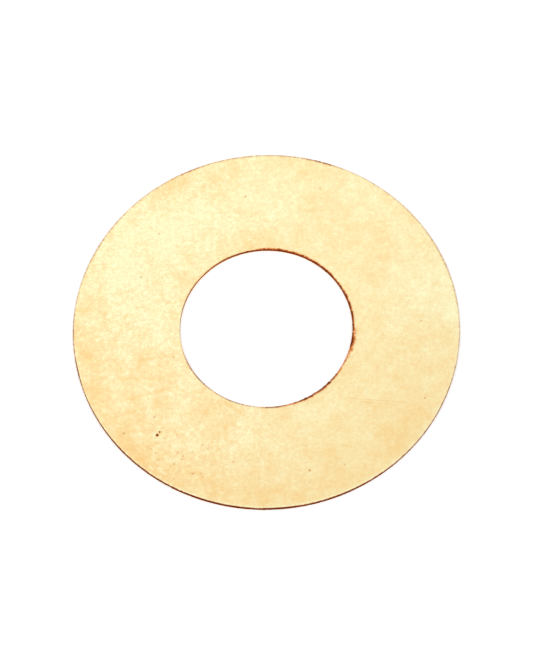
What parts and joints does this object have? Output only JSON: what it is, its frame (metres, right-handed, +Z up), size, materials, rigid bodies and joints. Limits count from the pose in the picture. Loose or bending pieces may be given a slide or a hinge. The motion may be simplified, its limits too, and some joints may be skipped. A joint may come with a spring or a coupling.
{
  "type": "flat washer",
  "caption": "Thin flat washer: a plain ring of sheet metal with a central clearance hole and rounded, press-cut edges.",
  "frame": {"origin": "centre of the hole at the lower face, which is the face the washer lies on", "axes": "+Z up along the hole, towards the face where the rim has its rounded die roll"},
  "size_m": [0.0444, 0.0444, 0.0005],
  "materials": {
    "bronze": "cold-rolled phosphor bronze, satin, with press-cut edges"
  },
  "bodies": {
    "root": {"flat_washer": "bronze"}
  },
  "joints": []
}
